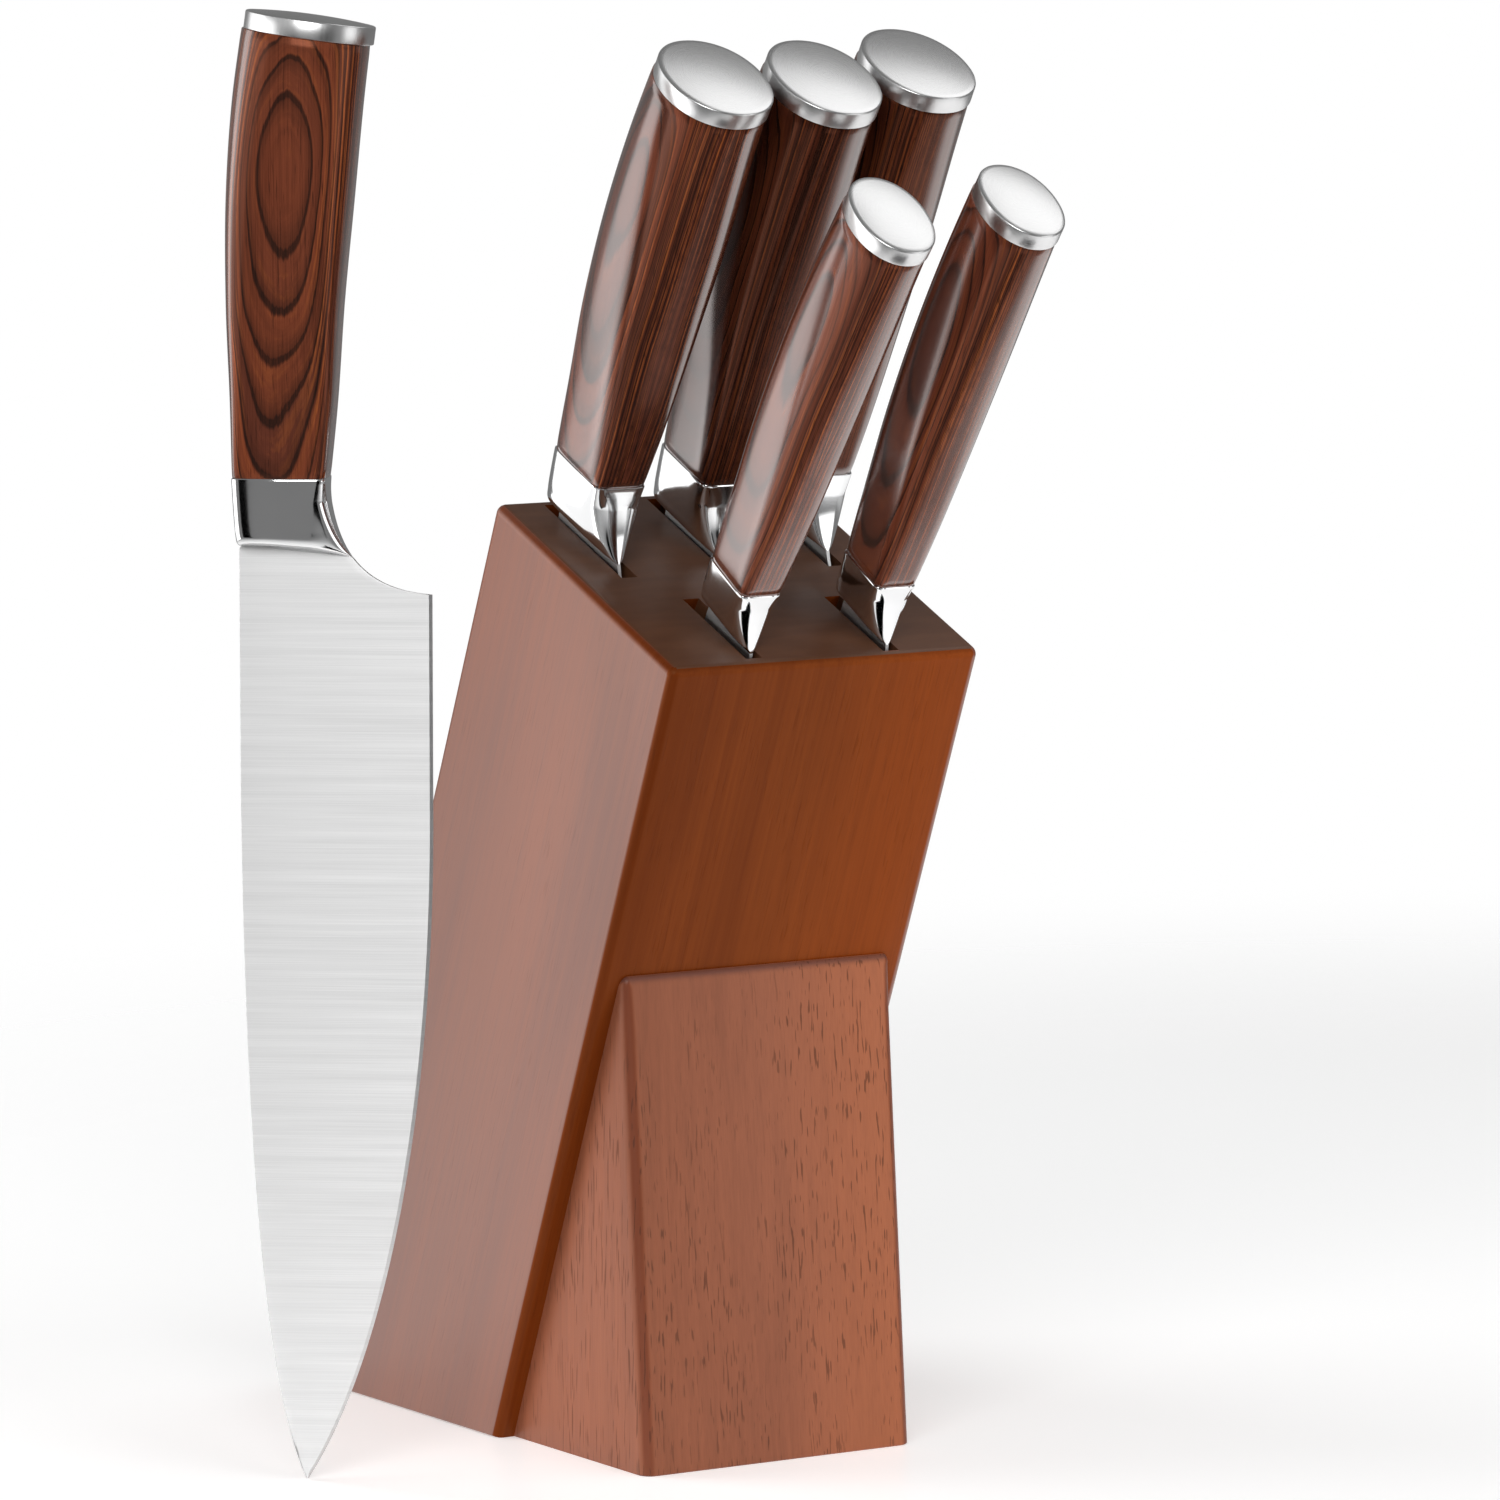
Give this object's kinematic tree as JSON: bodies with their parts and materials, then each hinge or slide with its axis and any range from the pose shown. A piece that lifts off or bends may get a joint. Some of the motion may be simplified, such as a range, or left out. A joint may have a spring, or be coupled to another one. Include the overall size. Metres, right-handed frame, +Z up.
{
  "type": "knife block with knives",
  "caption": "Slanted wooden block with a wedge foot that holds kitchen knives in slots, with a chef's knife standing beside it; each knife draws out along its slot.",
  "frame": {"origin": "middle of the slotted block's underside, on the surface that it stands on", "axes": "+Z up; +X to the right, seen from the foot's side; the foot is on the -Y side and the handles lean towards it"},
  "size_m": [0.1584, 0.2268, 0.3301],
  "materials": {
    "block_wood": "satin stained hardwood",
    "foot_wood": "satin stained hardwood with dark pores",
    "dowel_wood": "plain beech",
    "blade_steel": "brushed",
    "polished_steel": "mirror polished",
    "pakkawood": "glossy laminated wood",
    "cap_steel": "satin"
  },
  "bodies": {
    "block": {"cheek_board_left": "block_wood", "spacer_slicing": "block_wood", "board_left_outer": "block_wood", "spacer_utility": "block_wood", "board_left_inner": "block_wood", "spacer_middle": "block_wood", "board_right_inner": "block_wood", "spacer_paring": "block_wood", "board_right_outer": "block_wood", "spacer_bread": "block_wood", "cheek_board_right": "block_wood", "foot": "foot_wood", "foot_dowels": "dowel_wood"},
    "slicing_knife": {"slicing_blade": "blade_steel", "slicing_bolster": "polished_steel", "slicing_handle": "pakkawood", "slicing_cap": "cap_steel"},
    "santoku_knife": {"santoku_blade": "blade_steel", "santoku_bolster": "polished_steel", "santoku_handle": "pakkawood", "santoku_cap": "cap_steel"},
    "bread_knife": {"bread_blade": "blade_steel", "bread_bolster": "polished_steel", "bread_handle": "pakkawood", "bread_cap": "cap_steel"},
    "utility_knife": {"utility_blade": "blade_steel", "utility_bolster": "polished_steel", "utility_handle": "pakkawood", "utility_cap": "cap_steel"},
    "paring_knife": {"paring_blade": "blade_steel", "paring_bolster": "polished_steel", "paring_handle": "pakkawood", "paring_cap": "cap_steel"},
    "chef_knife": {"chef_blade": "blade_steel", "chef_bolster": "polished_steel", "chef_handle": "pakkawood", "chef_cap": "cap_steel"}
  },
  "joints": [
    {"name": "slicing_draw", "type": "slide", "parent": "block", "child": "slicing_knife", "axis": [0, -0.4172, 0.9088], "range_m": [0, 0.212]},
    {"name": "santoku_draw", "type": "slide", "parent": "block", "child": "santoku_knife", "axis": [0, -0.4172, 0.9088], "range_m": [0, 0.188]},
    {"name": "bread_draw", "type": "slide", "parent": "block", "child": "bread_knife", "axis": [0, -0.3853, 0.9228], "range_m": [0, 0.212]},
    {"name": "utility_draw", "type": "slide", "parent": "block", "child": "utility_knife", "axis": [0, -0.5249, 0.8512], "range_m": [0, 0.138]},
    {"name": "paring_draw", "type": "slide", "parent": "block", "child": "paring_knife", "axis": [0, -0.4949, 0.869], "range_m": [0, 0.102]},
    {"name": "chef_lift", "type": "slide", "parent": "block", "child": "chef_knife", "axis": [0, 0, 1], "range_m": [0, 0.2]}
  ]
}
